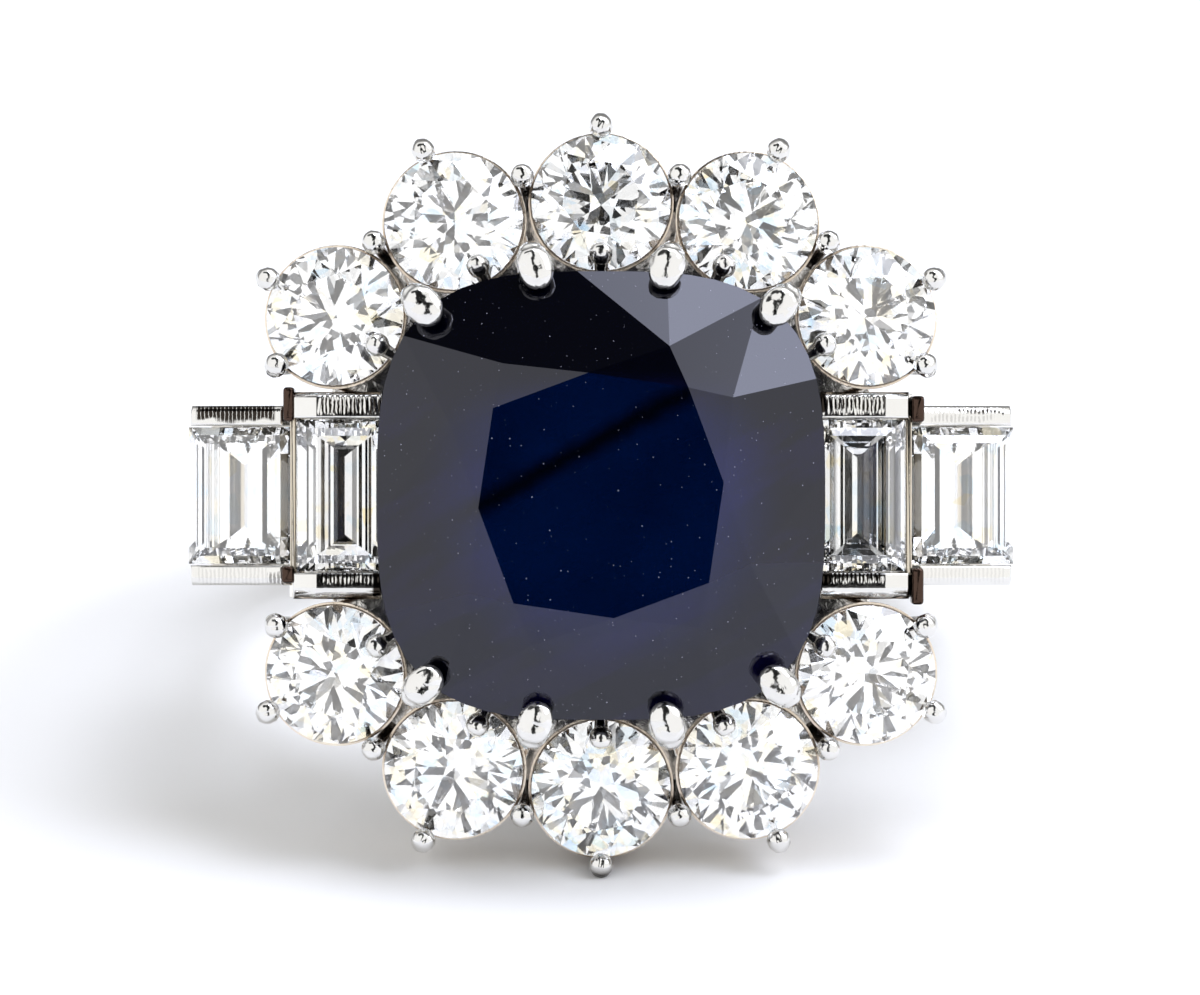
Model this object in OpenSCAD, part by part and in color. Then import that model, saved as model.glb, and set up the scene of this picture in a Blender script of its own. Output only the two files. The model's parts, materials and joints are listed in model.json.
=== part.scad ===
// Sapphire and diamond cluster ring, lying on its side.
// It is laid out as worn: the finger runs along y, x runs across the head, and z runs
// from the middle of the finger hole out through the table of the sapphire.
// The last turn lays it down on the edge of the band and on its lowest claw.

/* [Band] */
// Radius of the finger hole
finger_r = 8.6; // [8.4:0.1:8.8]
// Thickness of the band
band_t = 1.7; // [1.5:0.1:1.8]
// Width of the band opposite the head
band_w_back = 2.4; // [2.2:0.1:3]
// Width that the band would reach at the top of its circle
band_w_front = 3.8; // [3.4:0.1:4]
// Radius of the curve across the outside of the band
band_crown_r = 4; // [3:0.5:6]

/* [Sapphire] */
// Width and length of the square cushion
sapphire_w = 11.2; // [11:0.1:11.2]
// Height of the girdle's lower edge over the middle of the finger hole
sapphire_z = 14.5; // [14.5:0.1:14.8]
// Height of the crown over the girdle
sapphire_crown = 1.6; // [1.2:0.1:1.7]
// Thickness of the girdle
sapphire_girdle = 0.42; // [0.4:0.02:0.46]
// Depth of the pavilion under the girdle
sapphire_pavilion = 4.35; // [4:0.05:4.35]
// Width of the table over the width of the stone
sapphire_table = 0.545; // [0.5:0.005:0.6]
// Turn of the facets against the outline, in degrees
sapphire_turn = 6; // [0:1:8]
// Roundness of the outline: 2 is a circle, higher is squarer
sapphire_square = 3.2; // [3:0.1:3.3]

/* [Round brilliants] */
// Diameter of each of the ten brilliants
brilliant_d = 3.5; // [3.4:0.05:3.5]
// Height of their girdles' middles over the middle of the finger hole
brilliant_z = 13; // [12.9:0.1:13.1]
// Outward lean of each brilliant, in degrees
brilliant_lean = 12; // [10:1:13]
// Reach of the middle stone of each row from the middle of the head
row_middle_y = 7.36; // [7.34:0.02:7.4]
// Place of the stones next to it, across the head
row_side_x = 3.7; // [3.7:0.02:3.76]
// Place of the stones next to it, along the finger
row_side_y = 6.89; // [6.87:0.02:6.93]
// Place of the corner stones, across the head
row_corner_x = 6.68; // [6.66:0.02:6.74]
// Place of the corner stones, along the finger
row_corner_y = 4.5; // [4.48:0.02:4.54]

/* [Baguettes] */
// Width of the inner baguettes
inner_w = 2.36; // [2.2:0.02:2.36]
// Length of the inner baguettes
inner_l = 3.8; // [3.6:0.05:3.8]
// Distance of their middles from the middle of the head
inner_x = 6.44; // [6.4:0.01:6.48]
// Height of their girdles' middles over the middle of the finger hole
inner_z = 13; // [13:0.05:13.1]
// Width of the outer baguettes
outer_w = 2.8; // [2.6:0.05:2.8]
// Length of the outer baguettes
outer_l = 3.44; // [3.3:0.02:3.44]
// Distance of their middles from the middle of the head
outer_x = 9.05; // [9.03:0.01:9.1]
// Height of their girdles' middles over the middle of the finger hole
outer_z = 11.95; // [11.9:0.01:12]
// Outward lean of the outer baguettes, in degrees
outer_lean = 18; // [16:1:19]

/* [Claws] */
// Radius of the claws that hold the sapphire
main_claw_r = 0.3; // [0.26:0.01:0.3]
// Radius of the beads that end them
main_bead_r = 0.46; // [0.42:0.01:0.46]
// Radius of the small claws at the foot
small_foot_r = 0.24; // [0.2:0.01:0.24]
// Radius of the small claws beside the girdles
small_claw_r = 0.15; // [0.13:0.01:0.15]
// Radius of the beads that end them
small_bead_r = 0.3; // [0.28:0.01:0.3]

/* [Hidden] */
$fn = 48;

metal_colour = "gainsboro";
sapphire_colour = "midnightblue";
diamond_colour = "aliceblue";

// Clear space between a stone and the metal beside it
gap = 0.04;
// A length that runs past everything it cuts
past = 60;

// Band, as a ring whose outside is crowned and whose sides taper
band_r = finger_r + band_t;
head_cut_r = 2;
under_head_r = finger_r + 0.4;
shoulder_w = 3.2;
shoulder_foot_r = finger_r + 0.5;
outer_strap = [[9.2, 1.5], [10, 0.5], [10.35, 4], [9.8, 10.2], [9, 10.55], [9.45, 4.5]];
inner_strap = [[5.8, 7.4], [6.7, 6.6], [8, 10.8], [7, 11.5]];

// Brilliants, clockwise from the top of the head
side_xy = [row_side_x, row_side_y];
corner_xy = [row_corner_x, row_corner_y];
right_xy = [side_xy, corner_xy, flip_y(corner_xy), flip_y(side_xy)];
left_xy = [for (p = right_xy) -p];
brilliant_xy = concat([[0, row_middle_y]], right_xy, [[0, -row_middle_y]], left_xy);
brilliant_r = brilliant_d / 2;
brilliant_girdle = 0.1;
brilliant_crown = 0.5;
brilliant_pavilion = 1.5;
brilliant_table = 0.57;
// How far the stars reach out, and how far the lower girdle facets reach down to the culet
brilliant_star = 0.6;
brilliant_lower = 0.22;
// Each stone's facets are turned further by this angle
brilliant_turn = 13;
sapphire_star = 0.46;
sapphire_lower = 0.22;

// Collets: thin cones that end just under the girdles
collet_top = [brilliant_r + 0.09, -brilliant_girdle / 2 - 0.07];
collet_foot = [brilliant_r - 0.4, -2];
collet_rim = 0.11;
collet_wall = 0.3;

// Plate that the collets, the boxes and the cup stand on
plate_z = 11.2;
plate_t = 0.7;
plate_reach = 1.07;
plate_ring_r = 1.6;
plate_hole_r = 1;
cup_hole_r = 1.3;
cup_seat_r = 4.6;
foot_xy = [for (p = brilliant_xy) p * (1 + collet_foot.y * sin(brilliant_lean) / norm(p))];

// Cup under the sapphire, which follows its pavilion from the drilled hole to the rim
cup_foot = [4.4, 7];
cup_waist = [4.4, 9.2];
cup_shoulder = [5.3, 11.5];
cup_rim_z = 13.1;
cup_rim_wall = 0.5;
cup_clear = 0.12;
culet_z = sapphire_z - sapphire_pavilion;
cup_slope = outline_r(45) / sapphire_pavilion;
girdle_top = sapphire_z + sapphire_girdle;

// Boxes of the baguettes: a bar across each end, posts at the step between them
box_foot_z = plate_z + 0.1;
inner_bar_x = [5.5, 7.62];
inner_bar_y = [inner_l / 2 + gap, 2.6];
inner_bar_top = 13.35;
post_x = [7.53, 7.85];
post_y = [inner_l / 2 + gap, 2.79];
post_top = 13.15;
outer_bar_x = [-1.18, 1.3];
outer_bar_y = [outer_l / 2 + gap, 2.26];
outer_bar_z = [-1.5, 0.3];
outer_floor_x = [-1.6, 1.3];
outer_floor_z = [-1.7, -1.27];
baguette_girdle = 0.1;
baguette_crown = 0.4;
// Rows of a baguette's crown: share of its half width, share of the crown, and the
// distance inward from its end
crown_row = [0.8, 0.6, 0.2];
table_row = [0.6, 1, 0.4];
// Rows of its pavilion, from the girdle down to the keel: slope in degrees, then share of
// the half width and distance inward from the end where the row stops
inner_left_rows = [[42, 0.66, 0.34], [40, 0.3, 0.64], [38, 0, 0.92]];
inner_right_rows = [[44.5, 0.64, 0.34], [40, 0.3, 0.66], [35.5, 0, 0.95]];
outer_rows = [[42, 0.62, 0.34], [40, 0.26, 0.66], [37, 0, 0.95]];

// Small claws, by angle from straight outward and by reach of the bead from the stone
claw_foot = [brilliant_r - 0.12, -1.6];
claw_top = [brilliant_r + 0.225, 0.06];
outer_bead = [brilliant_r + 0.13, 0.4];
inner_bead = [brilliant_r - 0.27, 0.7];
link_r = 0.14;
middle_claws = [0];
side_claws = [5];
corner_claws = [-5, -76];
shared_claw_top = [[1.97, 8, 13.15], [5.69, 6.33, 13.15]];
shared_claw_foot = [[1.8, 7.3, 11.4], [5.2, 5.72, 11.4]];
shared_bead_lift = [0, 0, 0.1];

// Claws of the sapphire in one quarter of the head, by the places of their beads
main_bead_xy = [[1.66, 5.75], [4.48, 4.78]];
main_bead_z = girdle_top + 0.5;
main_tip_r = 0.34;
main_tip_in = 0.33;
main_tip_z = girdle_top + 0.62;
main_claw_out = 0.22;
main_leg_r = 0.4;
main_foot_r = 3.9;
main_foot_z = 9.6;
main_knee_z = 14;
knee_swell = 0.03;

// Resting pose: one plane touches the back edge of the band and the lowest bead
edge_r = band_r - band_crown_r + sqrt(pow(band_crown_r, 2) - pow(band_w_back / 2, 2));
low_bead = brilliant_point([0, -row_middle_y], 0, outer_bead);
reach_y = -low_bead.y - band_w_back / 2;
reach_z = low_bead.z + edge_r;
rest_pitch = atan2(reach_y, reach_z) + asin(small_bead_r / norm([reach_y, reach_z]));
rest_z = small_bead_r - low_bead.y * cos(rest_pitch) - low_bead.z * sin(rest_pitch);
back_y = band_w_back / 2 * sin(rest_pitch) + edge_r * cos(rest_pitch);
front_y = -main_bead_xy[0].y * sin(rest_pitch) - main_bead_z * cos(rest_pitch) - main_bead_r;
rest_y = -(front_y + back_y) / 2;

function flip_y(p) = [p.x, -p.y];
function outward(p) = atan2(p.y, p.x);
function polar(r, a, z) = [r * cos(a), r * sin(a), z];

// Half the width of the band's side planes at a height
function band_half(z) = (band_w_back
    + (band_w_front - band_w_back) * (z + band_r) / (2 * band_r)) / 2;

// Radius of the cushion's outline at an angle
function outline_r(a) = sapphire_w / 2
    / pow(pow(abs(cos(a)), sapphire_square) + pow(abs(sin(a)), sapphire_square),
        1 / sapphire_square);

// Where a point [radius, height] at an angle from straight outward of a brilliant lies
function brilliant_point(xy, a, rh) = let(
    along = rh.x * cos(a) * cos(brilliant_lean) + rh.y * sin(brilliant_lean),
    across = rh.x * sin(a),
    out = xy / norm(xy)
) [xy.x + along * out.x - across * out.y,
    xy.y + along * out.y + across * out.x,
    brilliant_z - rh.x * cos(a) * sin(brilliant_lean) + rh.y * cos(brilliant_lean)];

// A plane is [normal, offset], where normal * point is the offset
function plane(a, b, c) = let(n = cross(b - a, c - a)) [n, n * a];
function crossing(p, q, r) = (p[1] * cross(q[0], r[0]) + q[1] * cross(r[0], p[0])
    + r[1] * cross(p[0], q[0])) / (p[0] * cross(q[0], r[0]));
function raise(p, xy) = [xy.x, xy.y, (p[1] - p[0].x * xy.x - p[0].y * xy.y) / p[0].z];

// How deep under the girdle a row of a baguette's pavilion stops
function row_depth(rows, n, half_w) = n < 0 ? 0 : row_depth(rows, n - 1, half_w)
    + ((n == 0 ? 1 : rows[n - 1][1]) - rows[n][1]) * half_w * tan(rows[n][0]);

module laid_down() {
    translate([0, rest_y, rest_z]) rotate([90 - rest_pitch, 0, 0]) children();
}

module all_quarters() {
    for (across = [0, 1], along = [0, 1])
        mirror([across, 0, 0]) mirror([0, along, 0]) children();
}

module at_brilliant(xy) {
    translate([xy.x, xy.y, brilliant_z]) rotate([0, 0, outward(xy)])
        rotate([0, brilliant_lean, 0]) children();
}

module at_outer_baguette() {
    translate([outer_x, 0, outer_z]) rotate([0, outer_lean, 0]) children();
}

// A cylinder or cone from one point to another
module rod(from, to, r_from, r_to) {
    along = to - from;
    translate(from) rotate([0, acos(along.z / norm(along)), outward(along)])
        cylinder(h = norm(along), r1 = r_from, r2 = r_to);
}

// A block from its lower and upper bounds along each axis
module block(x, y, z) {
    translate([x[0], y[0], z[0]]) cube([x[1] - x[0], y[1] - y[0], z[1] - z[0]]);
}

// Facet-cut stone with eight mains and stars, and sixteen girdle facets above and below.
// radii holds the girdle's radius at 16 * steps even angles, from the first main on.
module brilliant_cut(radii, steps, turn, table, crown, girdle, pavilion, star, lower) {
    count = 16 * steps;
    angle = [for (i = [0:count - 1]) turn + i * 360 / count];
    top = girdle / 2;
    main = [for (k = [0:7]) 2 * steps * k];
    table_p = [for (i = main) polar(radii[i] * table, angle[i], top + crown)];
    girdle_p = [for (i = main) polar(radii[i], angle[i], top)];
    // The mains, and the stars that tip down from the table to where two mains meet
    main_plane = [for (k = [0:7]) plane(girdle_p[k], table_p[k],
        girdle_p[k] + polar(1, angle[main[k]] + 90, 0))];
    star_plane = [for (k = [0:7]) let(
        side = (table_p[k] + table_p[(k + 1) % 8]) / 2,
        r = norm([side.x, side.y]),
        fall = star * crown / (r * (1 / table - 1))
    ) plane(table_p[k], table_p[(k + 1) % 8], side + [side.x / r, side.y / r, -fall])];
    star_p = [for (k = [0:7])
        crossing(main_plane[k], main_plane[(k + 1) % 8], star_plane[k])];
    // The mains of the pavilion run from the culet to the girdle
    culet = [0, 0, -top - pavilion];
    under_plane = [for (i = main) plane(culet, polar(radii[i], angle[i], -top),
        polar(radii[i], angle[i], -top) + polar(1, angle[i] + 90, 0))];
    under_p = [for (k = [0:7]) let(
        ridge = cross(under_plane[k][0], under_plane[(k + 1) % 8][0])
    ) culet + ridge / ridge.z * pavilion * lower];
    // The girdle's edges lie on the flat facets that end there, so they are scalloped
    upper_p = [for (i = [0:count - 1]) let(
        start = steps * floor(i / steps),
        facet = plane(star_p[floor(start / steps / 2)], polar(radii[start], angle[start], top),
            polar(radii[(start + steps) % count], angle[start] + 22.5, top))
    ) raise(facet, polar(radii[i], angle[i], 0))];
    lower_p = [for (i = [0:count - 1]) let(
        start = steps * floor(i / steps),
        facet = plane(under_p[floor(start / steps / 2)], polar(radii[start], angle[start], -top),
            polar(radii[(start + steps) % count], angle[start] + 22.5, -top))
    ) raise(facet, polar(radii[i], angle[i], 0))];
    // The first point of each list, in the order table, stars, upper, lower, under, culet
    star_0 = 8;
    upper_0 = 16;
    lower_0 = upper_0 + count;
    under_0 = lower_0 + count;
    culet_0 = under_0 + 8;
    faces = concat(
        [[7, 6, 5, 4, 3, 2, 1, 0]],
        [for (k = [0:7]) [k, (k + 1) % 8, star_0 + k]],
        [for (k = [0:7]) [k, star_0 + k, upper_0 + main[k], star_0 + (k + 7) % 8]],
        [for (half = [0:15]) concat(star_0 + floor(half / 2),
            [for (i = [steps:-1:0]) upper_0 + (steps * half + i) % count])],
        [for (i = [0:count - 1]) let(next = (i + 1) % count)
            [upper_0 + i, upper_0 + next, lower_0 + next, lower_0 + i]],
        [for (half = [0:15]) concat(under_0 + floor(half / 2),
            [for (i = [0:steps]) lower_0 + (steps * half + i) % count])],
        [for (k = [0:7]) [culet_0, under_0 + (k + 7) % 8, lower_0 + main[k], under_0 + k]]
    );
    polyhedron(concat(table_p, star_p, upper_p, lower_p, under_p, [culet]), faces);
}

// Step-cut stone: its keel, then rectangles [half width, half length, height] upward
module step_cut(keel, rows) {
    top = len(rows) - 1;
    corners = [[1, 1], [-1, 1], [-1, -1], [1, -1]];
    points = [for (r = rows) for (c = corners) [c.x * r[0], c.y * r[1], r[2]]];
    front = len(points);
    back = front + 1;
    faces = concat(
        [[for (k = [3:-1:0]) 4 * top + k]],
        [for (n = [0:top - 1]) for (k = [0:3]) let(next = (k + 1) % 4)
            [4 * n + k, 4 * n + 4 + k, 4 * n + 4 + next, 4 * n + next]],
        [[front, 0, 1], [front, 1, 2, back], [back, 2, 3], [back, 3, 0, front]]
    );
    polyhedron(concat(points, [[0, keel.x, keel.y], [0, -keel.x, keel.y]]), faces);
}

module band() {
    difference() {
        intersection() {
            rotate([90, 0, 0]) rotate_extrude() intersection() {
                translate([finger_r, -band_w_front]) square([band_t, 2 * band_w_front]);
                translate([band_r - band_crown_r, 0]) circle(band_crown_r);
            }
            rotate([90, 0, 90]) linear_extrude(past, center = true) polygon([
                [-band_half(-past), -past], [band_half(-past), -past],
                [band_half(past), past], [-band_half(past), past]]);
        }
        cylinder(h = past, r = head_cut_r);
    }
}

// Two straps on each side, from the band up to the boxes of the baguettes
module shoulders() {
    difference() {
        for (side = [0, 1], strap = [outer_strap, inner_strap])
            mirror([side, 0, 0]) rotate([90, 0, 0])
                linear_extrude(shoulder_w, center = true) polygon(strap);
        rotate([90, 0, 0]) cylinder(h = past, r = shoulder_foot_r, center = true);
    }
}

module cup() {
    rim_r = cup_slope * (cup_rim_z - culet_z) + cup_clear;
    difference() {
        rotate_extrude() polygon([
            [cup_hole_r, cup_foot.y], cup_foot, cup_waist, cup_shoulder,
            [rim_r + cup_rim_wall, cup_rim_z], [rim_r, cup_rim_z],
            [cup_hole_r, culet_z + (cup_hole_r - cup_clear) / cup_slope]]);
        rotate([90, 0, 0]) cylinder(h = past, r = under_head_r, center = true);
    }
}

module plate() {
    translate([0, 0, plate_z]) linear_extrude(plate_t) difference() {
        union() {
            polygon(foot_xy * plate_reach);
            for (p = foot_xy) translate(p) circle(plate_ring_r);
            square(2 * [post_x[1], inner_bar_y[1]], center = true);
        }
        for (p = foot_xy) translate(p) circle(plate_hole_r);
        circle(cup_seat_r);
    }
}

module collets() {
    for (p = brilliant_xy) at_brilliant(p) rotate_extrude() polygon([
        collet_top - [collet_rim, 0], collet_top,
        collet_foot, collet_foot - [collet_wall, 0]]);
}

// A small claw's wire in the plane of a brilliant's axis, then its bead
module small_claw(angle, bead) {
    foot = polar(claw_foot.x, angle, claw_foot.y);
    top = polar(claw_top.x, angle, claw_top.y);
    tip = polar(bead.x, angle, bead.y);
    rod(foot, top, small_foot_r, small_claw_r);
    rod(top, tip, link_r, link_r);
    translate(tip) sphere(small_bead_r);
}

// The claws around one brilliant: those on its outside, and one under the sapphire
module claws_of(xy, outer_angles) {
    at_brilliant(xy) {
        for (a = outer_angles) small_claw(a, outer_bead);
        small_claw(180, inner_bead);
    }
}

module small_claws() {
    for (turn = [0, 180]) rotate(turn) claws_of([0, row_middle_y], middle_claws);
    all_quarters() {
        claws_of(side_xy, side_claws);
        claws_of(corner_xy, corner_claws);
        for (n = [0, 1]) {
            rod(shared_claw_foot[n], shared_claw_top[n], small_foot_r, small_claw_r);
            translate(shared_claw_top[n] + shared_bead_lift) sphere(small_bead_r);
        }
    }
}

module main_claws() {
    all_quarters() for (p = main_bead_xy) {
        angle = outward(p);
        knee_r = norm(p) + main_claw_out;
        rod(polar(main_foot_r, angle, main_foot_z), polar(knee_r, angle, main_knee_z),
            main_leg_r, main_claw_r);
        translate(polar(knee_r, angle, main_knee_z)) {
            sphere(main_claw_r + knee_swell);
            cylinder(h = main_bead_z - main_knee_z, r = main_claw_r);
        }
        translate(polar(norm(p), angle, main_bead_z)) sphere(main_bead_r);
        translate(polar(norm(p) - main_tip_in, angle, main_tip_z)) sphere(main_tip_r);
    }
}

module boxes() {
    all_quarters() {
        block(inner_bar_x, inner_bar_y, [box_foot_z, inner_bar_top]);
        block(post_x, post_y, [box_foot_z, post_top]);
        at_outer_baguette() block(outer_bar_x, outer_bar_y, outer_bar_z);
    }
    for (side = [0, 1]) mirror([side, 0, 0]) at_outer_baguette()
        block(outer_floor_x, [-outer_bar_y[1], outer_bar_y[1]], outer_floor_z);
}

module ring_mount() {
    color(metal_colour) laid_down() {
        band();
        shoulders();
        cup();
        plate();
        collets();
        small_claws();
        main_claws();
        boxes();
    }
}

module sapphire() {
    steps = 4;
    radii = [for (i = [0:16 * steps - 1]) outline_r(sapphire_turn + i * 22.5 / steps)];
    color(sapphire_colour) laid_down()
        translate([0, 0, sapphire_z + sapphire_girdle / 2])
            brilliant_cut(radii, steps, sapphire_turn, sapphire_table, sapphire_crown,
                sapphire_girdle, sapphire_pavilion, sapphire_star, sapphire_lower);
}

module brilliant(number) {
    steps = 3;
    radii = [for (i = [0:16 * steps - 1]) brilliant_r];
    color(diamond_colour) laid_down() at_brilliant(brilliant_xy[number - 1])
        brilliant_cut(radii, steps, brilliant_turn * number, brilliant_table,
            brilliant_crown, brilliant_girdle, brilliant_pavilion, brilliant_star,
            brilliant_lower);
}

module baguette(w, l, rows) {
    half_w = w / 2;
    half_l = l / 2;
    girdle = baguette_girdle / 2;
    keel = [half_l - rows[2][2], -girdle - row_depth(rows, 2, half_w)];
    under = [for (n = [1, 0])
        [rows[n][1] * half_w, half_l - rows[n][2], -girdle - row_depth(rows, n, half_w)]];
    over = [for (r = [crown_row, table_row])
        [r[0] * half_w, half_l - r[2], girdle + r[1] * baguette_crown]];
    rim = [[half_w, half_l, -girdle], [half_w, half_l, girdle]];
    step_cut(keel, concat(under, rim, over));
}

module inner_baguette(side) {
    color(diamond_colour) laid_down() translate([side * inner_x, 0, inner_z])
        baguette(inner_w, inner_l, side < 0 ? inner_left_rows : inner_right_rows);
}

module outer_baguette(side) {
    color(diamond_colour) laid_down() mirror([side < 0 ? 1 : 0, 0, 0])
        at_outer_baguette() baguette(outer_w, outer_l, outer_rows);
}

ring_mount();
sapphire();
brilliant(1);  // brilliant_01
brilliant(2);  // brilliant_02
brilliant(3);  // brilliant_03
brilliant(4);  // brilliant_04
brilliant(5);  // brilliant_05
brilliant(6);  // brilliant_06
brilliant(7);  // brilliant_07
brilliant(8);  // brilliant_08
brilliant(9);  // brilliant_09
brilliant(10);  // brilliant_10
inner_baguette(-1);  // baguette_left_inner
outer_baguette(-1);  // baguette_left_outer
inner_baguette(1);  // baguette_right_inner
outer_baguette(1);  // baguette_right_outer
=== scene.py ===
import json
import math
import random
from collections import namedtuple

import bmesh
import bpy
import numpy as np
from mathutils import Matrix, Vector, noise


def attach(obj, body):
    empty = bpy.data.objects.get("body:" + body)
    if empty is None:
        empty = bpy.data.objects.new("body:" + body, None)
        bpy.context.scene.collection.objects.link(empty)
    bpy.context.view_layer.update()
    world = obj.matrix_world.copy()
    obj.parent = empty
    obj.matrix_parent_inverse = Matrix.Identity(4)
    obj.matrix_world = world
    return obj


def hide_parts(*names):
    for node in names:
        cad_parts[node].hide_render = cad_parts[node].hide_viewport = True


SEED = 41
MM = 0.001
FULL_TURN = 2 * math.pi
TINY = 1e-9

# Rounded outlines: the share of a side that the curve at one of its ends may use
CORNER_SHARE = 0.45

# Meshes: how near points are joined, in metres, and from which angle on an edge looks sharp
WELD = 2e-8
SHARP_DEG = 38
BAR_SHARP_DEG = 50

# Band and shoulders
FINGER_R = 8.6
BAND_R = 10.3
BAND_W_BACK = 2.4
BAND_W_FRONT = 3.8
BAND_CROWN_R = 4.0
BAND_CROWN_STOPS = (-1, -0.7, -0.5, -0.34, -0.17, 0, 0.17, 0.34, 0.5, 0.7, 1)
BAND_EDGE = 0.22
BAND_COUNT = 300
BAND_PASSES = 4
HEAD_CUT_R = 2.0
HEAD_CUT_Z = (7, 12)
HEAD_CUT_COUNT = 64
UNDER_HEAD_R = 9.0
STRAP_W = 3.2
STRAP_EDGE = 0.2
STRAP_CORNER = 0.5
OUTER_STRAP = [(9.2, 1.5), (10, 0.5), (10.35, 4), (9.8, 10.2), (9, 10.55), (9.45, 4.5)]
INNER_STRAP = [(5.8, 7.4), (6.7, 6.6), (8, 10.8), (7, 11.5)]

# Brilliants, clockwise from the top of the head
BRILLIANT_Z = 13.0
BRILLIANT_LEAN = math.radians(12)
ROW_MIDDLE_Y = 7.36
SIDE_XY = (3.7, 6.89)
CORNER_XY = (6.68, 4.5)

# Collets
COLLET_PROFILE = [(1.73, -0.12), (1.84, -0.12), (1.35, -2.0), (1.05, -2.0)]
COLLET_EDGE = 0.05
COLLET_COUNT = 64

# Gallery plate
PLATE_Z = (11.2, 11.9)
PLATE_REACH = 1.07
PLATE_RING_R = 1.6
PLATE_EDGE = 0.08
PLATE_HALF = (7.85, 2.6)
PLATE_COUNT = 480
PLATE_HOLE_R = 1.0
PLATE_HOLE_Z = (10.8, 12.3)
PLATE_HOLE_COUNT = 40

# Cup under the sapphire
CUP_SEAT_R = 4.6
CUP_HOLE_R = 1.3
CUP_FOOT_R = 4.4
CUP_OUTSIDE = [(4.4, 9.2), (5.3, 11.5), (4.945, 13.1)]
CUP_INSIDE = [(4.445, 13.1), (1.3, 10.955)]
CUP_EDGE = 0.09
CUP_COUNT = 160
CUP_FOOT_COUNT = 7

# Bars with a cut top. edge is how round the rims are, hatch the stretch of x with strokes of a
# file, pitch how far apart these are, depth how deep, reach the share of y that they cross,
# flat the share of y that lies level, fall how far the bevel past it goes down, cap the x past
# which the top falls toward the far end, and slope how steeply
BarTop = namedtuple("BarTop", "edge hatch pitch depth reach flat fall cap slope")
INNER_TOP = BarTop(edge=0.06, hatch=(5.6, 7.05), pitch=0.13, depth=0.02, reach=1.0, flat=0.76,
    fall=0.16, cap=7.15, slope=0.4)
INNER_BOTTOM = INNER_TOP._replace(reach=0.5, flat=0.56, fall=0.24)
OUTER_TOP = BarTop(edge=0.07, hatch=(-1.1, 1.1), pitch=0.09, depth=0.008, reach=1.0, flat=0.6,
    fall=0.12, cap=1.0, slope=0.2)
RIM_STOPS = (0, 0.15, 0.4, 0.7)
BAR_LONG_COUNT = 150
BAR_WIDE_COUNT = 12
BEVEL_CURVE = 1.7

# Strokes of a file: where one crosses the bar's middle, how much it leans, how deep it is
# beside the others, and the shares of the bar's width that it leaves free at both ends. GAP
# and WIDTH are counted in the bar's pitch
Stroke = namedtuple("Stroke", "at lean deep start stop")
STROKE_LEAN = (-0.12, 0.12)
STROKE_DEEP = (0.6, 1.15)
STROKE_START = (0.12, 0.2)
STROKE_STOP = (0.06, 0.16)
STROKE_GAP = (0.8, 1.2)
STROKE_WIDTH = 0.32
STROKE_FAR = 2.5
STROKE_FADE = 0.1

# Boxes of the baguettes
BOX_FOOT_Z = 11.3
INNER_BAR_X = (5.5, 7.74)
INNER_BAR_Y = (1.94, 2.6)
INNER_BAR_Z = (BOX_FOOT_Z, 13.35)
OUTER_PLACE = (9.05, 0, 11.95)
OUTER_LEAN = math.radians(18)
OUTER_BAR_X = (-1.18, 1.3)
OUTER_BAR_Y = (1.76, 2.26)
OUTER_BAR_Z = (-1.5, 0.3)
OUTER_FLOOR_X = (-1.6, 1.3)
OUTER_FLOOR_Z = (-1.7, -1.27)
OUTER_FLOOR_CORNER = 0.1
OUTER_FLOOR_EDGE = 0.08

# Walls between the inner and the outer baguettes
WALL_X = (7.66, 7.81)
WALL_Y = (-2.0, 2.0)
WALL_Z = (12.55, 13.02)
WALL_CORNER = 0.03
WALL_EDGE = 0.05

# Posts beside the walls, as from and to across and from and to along: top right, bottom right,
# top left and bottom left
POSTS = [
    ((7.8, 8.12), (1.84, 2.5)),
    ((7.8, 8.1), (-2.74, -1.82)),
    ((-7.98, -7.7), (1.86, 2.72)),
    ((-8.02, -7.7), (-2.2, -1.78)),
]
POST_Z = (BOX_FOOT_Z, 13.15)
POST_CORNER = 0.1
POST_EDGE = 0.09

# Kinds of claw. wire is the wire's radius, bead the bead's and length half its length, sides
# how many sides the claw has, lump how uneven the bead is, groove how deep the cut of the
# setting tool is, collar how deep the neck below it is, and squash its height over its width
ClawKind = namedtuple("ClawKind", "wire bead length sides lump groove collar squash")
SMALL_CLAW = ClawKind(wire=0.15, bead=0.3, length=0.3, sides=22, lump=0.02, groove=0.05,
    collar=0.0, squash=1.0)
MAIN_CLAW = ClawKind(wire=0.3, bead=0.45, length=0.62, sides=36, lump=0.035, groove=0.07,
    collar=0.05, squash=0.6)
NECK_COUNT = 9
BEAD_COUNT = 30

# Form of every bead. Places along it are counted from its middle, in halves of its length
BEAD_START = -0.8
BEAD_TIP_TURN = 0.12
BEAD_ROUNDNESS = 2.2
COLLAR_AT = -0.42
COLLAR_WIDTH = 0.09
PRESS_START = -0.56
PRESS_RUN = 0.7
GROOVE_START = -0.75
GROOVE_HALF = 0.2
GROOVE_TWIST = 0.5
LUMP_SCALE = 3.1
LUMP_REACH = 50

# Small claws, as reach from the stone's axis and height over its girdle. lean is how far the
# bead's tip leans inward. They stand at turns from straight outward, in degrees
SmallBead = namedtuple("SmallBead", "reach height lean")
CLAW_FOOT = (1.63, -1.6)
CLAW_TOP = (1.975, 0.06)
OUTER_BEAD = SmallBead(1.88, 0.4, 0.1)
INNER_BEAD = SmallBead(1.48, 0.7, 0.28)
OUTWARD = 0
INWARD = 180
SIDE_TURNS = (5,)
CORNER_TURNS = (-5, -76)
SHARED_TOPS = [(1.97, 8, 13.15), (5.69, 6.33, 13.15)]
SHARED_FEET = [(1.8, 7.3, 11.4), (5.2, 5.72, 11.4)]
SHARED_TIP_RUN = 0.1

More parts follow.
